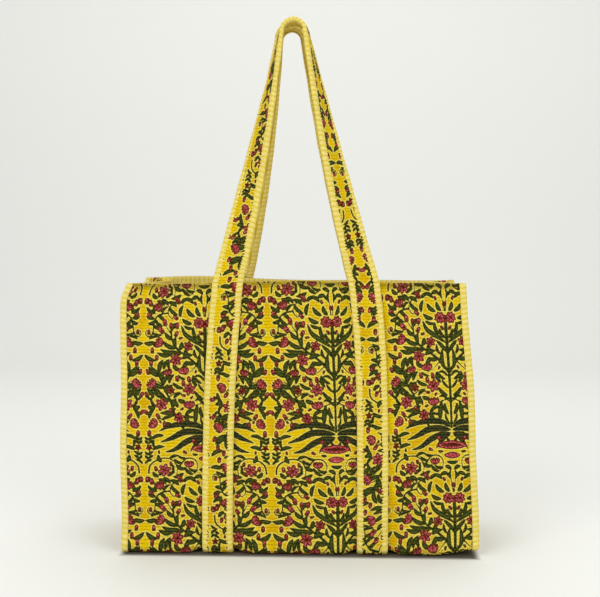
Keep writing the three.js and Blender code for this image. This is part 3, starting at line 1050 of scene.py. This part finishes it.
def running_stitch(shader, x, y):
    """1 on the visible thread of the rows of running stitch, and 0 between."""
    row = shader.math("ROUND", shader.math("DIVIDE", y, STITCH_ROW))
    from_row = shader.math("ABSOLUTE", shader.math("MULTIPLY_ADD", row, -STITCH_ROW, y))
    thread = shader.ramp(from_row, 0.75, 0.3)
    dash = shader.wave(shader.math("MULTIPLY_ADD", row, 2.7, x), 5.2)
    return shader.math("MULTIPLY", thread, shader.ramp(dash, -0.1, 0.25))


def print_material():
    """Yellow block-printed cotton: green and pink inks with pale edges, quilted in rows."""
    shader = Shader("block_printed_cotton")
    where = shader.attribute("cloth", "Vector")
    x, y, _ = shader.parts(where)
    rough_edge = shader.math("MULTIPLY_ADD", shader.noise(where, 0.55), 1.0, -0.5)
    ink = {name: shader.math("ADD", shader.attribute(name), rough_edge) for name in Tile.INKS}
    nearest = shader.math("MINIMUM", shader.math("MINIMUM", ink["green"], ink["frond"]),
                          shader.math("MINIMUM", ink["petal"], ink["red"]))
    patches = shader.noise(where, 0.022, 3.0)
    ground = shader.mix(shader.ramp(patches, 0.38, 0.66), YELLOW, DEEP_YELLOW)
    streaks = shader.noise(shader.vector(shader.math("MULTIPLY", x, 0.25), y, 0.0), 0.8)
    ground = shader.mix(shader.ramp(streaks, 0.5, 0.75, 0.0, 0.4), ground, ORANGE)
    outline = shader.ramp(nearest, 1.5, 0.75)
    result = shader.mix(outline, ground, OUTLINE)
    leaf_tone = shader.ramp(shader.noise(where, 0.3), 0.35, 0.7)
    leaf = shader.mix(leaf_tone, LEAF_DARK, LEAF)
    vein = shader.ramp(ink["green"], -1.4, -2.1, 0.0, 0.45)
    leaf = shader.mix(vein, leaf, LEAF_LIGHT)
    frond = shader.mix(leaf_tone, FROND_DARK, FROND)
    for name, tone in (("green", leaf), ("frond", frond), ("petal", CRIMSON)):
        result = shader.mix(shader.ramp(ink[name], 0.35, -0.25), result, tone)
    fleck = shader.noise(shader.vector(x, shader.math("MULTIPLY", y, 0.7), 0.0), 0.55)
    pink = shader.mix(shader.ramp(fleck, 0.44, 0.62), PINK, PALE_PINK)
    result = shader.mix(shader.ramp(ink["petal"], -0.75, -1.7), result, pink)
    result = shader.mix(shader.ramp(ink["red"], 0.3, -0.3), result, RED)
    stitch = running_stitch(shader, x, y)
    result = shader.mix(shader.math("MULTIPLY", stitch, 0.12), result, THREAD)
    # Painted shade in the valleys between the rows of stitching, stronger in some patches than in
    # others
    valley = shader.ramp(shader.wave(y, STITCH_ROW, math.pi), 0.2, 0.95)
    valley_shade_patches = shader.ramp(shader.noise(where, 0.16), 0.3, 0.62, 0.05, 0.42)
    result = shader.mix(shader.math("MULTIPLY", valley, valley_shade_patches), result, SHADE)
    # Painted shade along the fold at the body's rims
    result = shader.mix(shader.attribute("rim_shade"), result, PAINTED_RIM_SHADE)
    height = shader.math("MULTIPLY_ADD", stitch, -0.55, shader.math(
        "MULTIPLY_ADD", weave(shader, x, y), 0.07, shader.math(
            "MULTIPLY", shader.noise(where, 0.35, 3.0), 0.7)))
    return shader.finish(result, height, 0.9, 0.9, 0.0)


def stripe_material(name, axis, period, pale_share, ground, line):
    """Pale yellow cotton with soft woven stripes across the given axis of the cloth."""
    shader = Shader(name)
    where = shader.attribute("cloth", "Vector")
    parts = shader.parts(where)
    slant = shader.math("MULTIPLY_ADD", parts[1 - axis], 0.16, parts[axis])
    uneven = shader.math("MULTIPLY_ADD", shader.noise(where, 0.12), 2.4, slant)
    stripes = shader.wave(uneven, period)
    share = shader.ramp(stripes, pale_share - 0.35, pale_share + 0.35)
    shaded = tuple(0.96 * tone for tone in ground)
    base = shader.mix(shader.ramp(shader.noise(where, 0.05), 0.35, 0.7), ground, shaded)
    result = shader.mix(share, base, line)
    stitch = running_stitch(shader, parts[0], parts[1])
    height = shader.math("MULTIPLY_ADD", weave(shader, parts[0], parts[1]), 0.08, shader.math(
        "MULTIPLY_ADD", stripes, -0.22, shader.math(
            "MULTIPLY_ADD", stitch, -0.3, shader.math(
                "MULTIPLY", shader.noise(where, 0.5, 3.0), 0.5))))
    return shader.finish(result, height, 0.7, 0.9, 0.04)


# ------------------------------------------------------------------ the studio

def add_studio():
    """A pale floor that curves up into a backdrop, soft light and the camera. A painted contact shadow
    darkens the floor's paper in a narrow line where the bag meets it, and painted light makes the paper
    brighter higher up."""
    curve_radius = 0.9
    wall_y = 2.6
    floor_front = -6.0
    angle = np.linspace(0, np.pi / 2, 20)
    y = np.concatenate([[floor_front], wall_y - curve_radius + curve_radius * np.sin(angle), [wall_y]])
    z = np.concatenate([[0.0], curve_radius - curve_radius * np.cos(angle), [4.5]])
    width = 7.0
    points = np.concatenate([stacked(-width, y, z), stacked(width, y, z)]) / MM
    count = len(y)
    faces = [[i, i + 1, count + i + 1, count + i] for i in range(count - 1)]
    shader = Shader("studio_paper")
    coordinates = shader.tree.nodes.new("ShaderNodeTexCoord").outputs["Object"]
    x, y, z = shader.parts(coordinates)
    # Painted light: the backdrop's paper gets lighter with height
    paper = shader.mix(shader.ramp(z, 0.2, 1.3), PAPER, PAINTED_LIGHT_HIGH_PAPER)
    # Painted contact shadow: the paper darkens to within a few millimetres of the bag's footprint
    from_side = shader.math("SUBTRACT", shader.math("ABSOLUTE", x), HALF_WIDTH * MM - CONTACT_SHADOW_INSET)
    from_front = shader.math("SUBTRACT", shader.math("ABSOLUTE", y), HALF_DEPTH * MM)
    from_bag = shader.math("MAXIMUM", from_side, from_front)
    under = shader.ramp(from_bag, *CONTACT_SHADOW_REACH, 0.0, 0.9)
    paper = shader.mix(under, paper, PAINTED_CONTACT_SHADOW)
    paper = shader.finish(paper, shader.noise(coordinates, 220.0), 0.02, 0.95, 0.0)
    backdrop = new_piece("backdrop", points, faces, [paper])
    if backdrop.data.polygons[0].normal.z < 0:
        backdrop.data.flip_normals()
    add_lights()
    add_camera()


def add_lights():
    world = bpy.data.worlds.new("studio")
    world.use_nodes = True
    background = world.node_tree.nodes["Background"]
    background.inputs["Color"].default_value = (1.0, 1.0, 0.985, 1.0)
    background.inputs["Strength"].default_value = WORLD_LIGHT
    bpy.context.scene.world = world
    for name, place, size, power in AREA_LIGHTS:
        light = bpy.data.lights.new(name, "AREA")
        light.shape = "RECTANGLE"
        light.size, light.size_y = size
        light.energy = power
        lamp = bpy.data.objects.new(name, light)
        lamp.location = place
        direction = -np.array(place) + (0, 0, 0.25)
        yaw = math.atan2(direction[1], direction[0]) - math.pi / 2
        pitch = math.atan2(direction[2], math.hypot(direction[0], direction[1])) + math.pi / 2
        lamp.rotation_euler = (pitch, 0, yaw)
        bpy.context.scene.collection.objects.link(lamp)


def add_camera():
    camera = bpy.data.cameras.new("camera")
    camera.sensor_width = 36
    camera.lens = CAMERA_LENS
    eye = bpy.data.objects.new("camera", camera)
    eye.location = CAMERA_PLACE
    eye.rotation_euler = (math.radians(90 - CAMERA_DOWN), 0, math.radians(CAMERA_LEFT))
    bpy.context.scene.collection.objects.link(eye)
    bpy.context.scene.camera = eye
    bpy.context.scene.view_settings.view_transform = "Standard"


# ------------------------------------------------------------------ everything together

add_studio()
tile = draw_tile()
wrap = Wrap()
block_print = print_material()
stripes = stripe_material("striped_cotton", 1, STRIPE_PERIOD, 0.25, CREAM, STRIPE_YELLOW)
lining = stripe_material("striped_lining", 0, LINING_PERIOD, 0.2, LINING_CREAM, LINING_YELLOW)
quilt = [block_print, lining]
add_body(wrap, tile, quilt)
add_gussets(tile, quilt)
add_seam_bindings(wrap, [stripes])
add_mouth_facing([stripes])
add_sewn_straps(wrap, tile, (quilt, [stripes]))
add_handles(tile, (quilt, [stripes]))
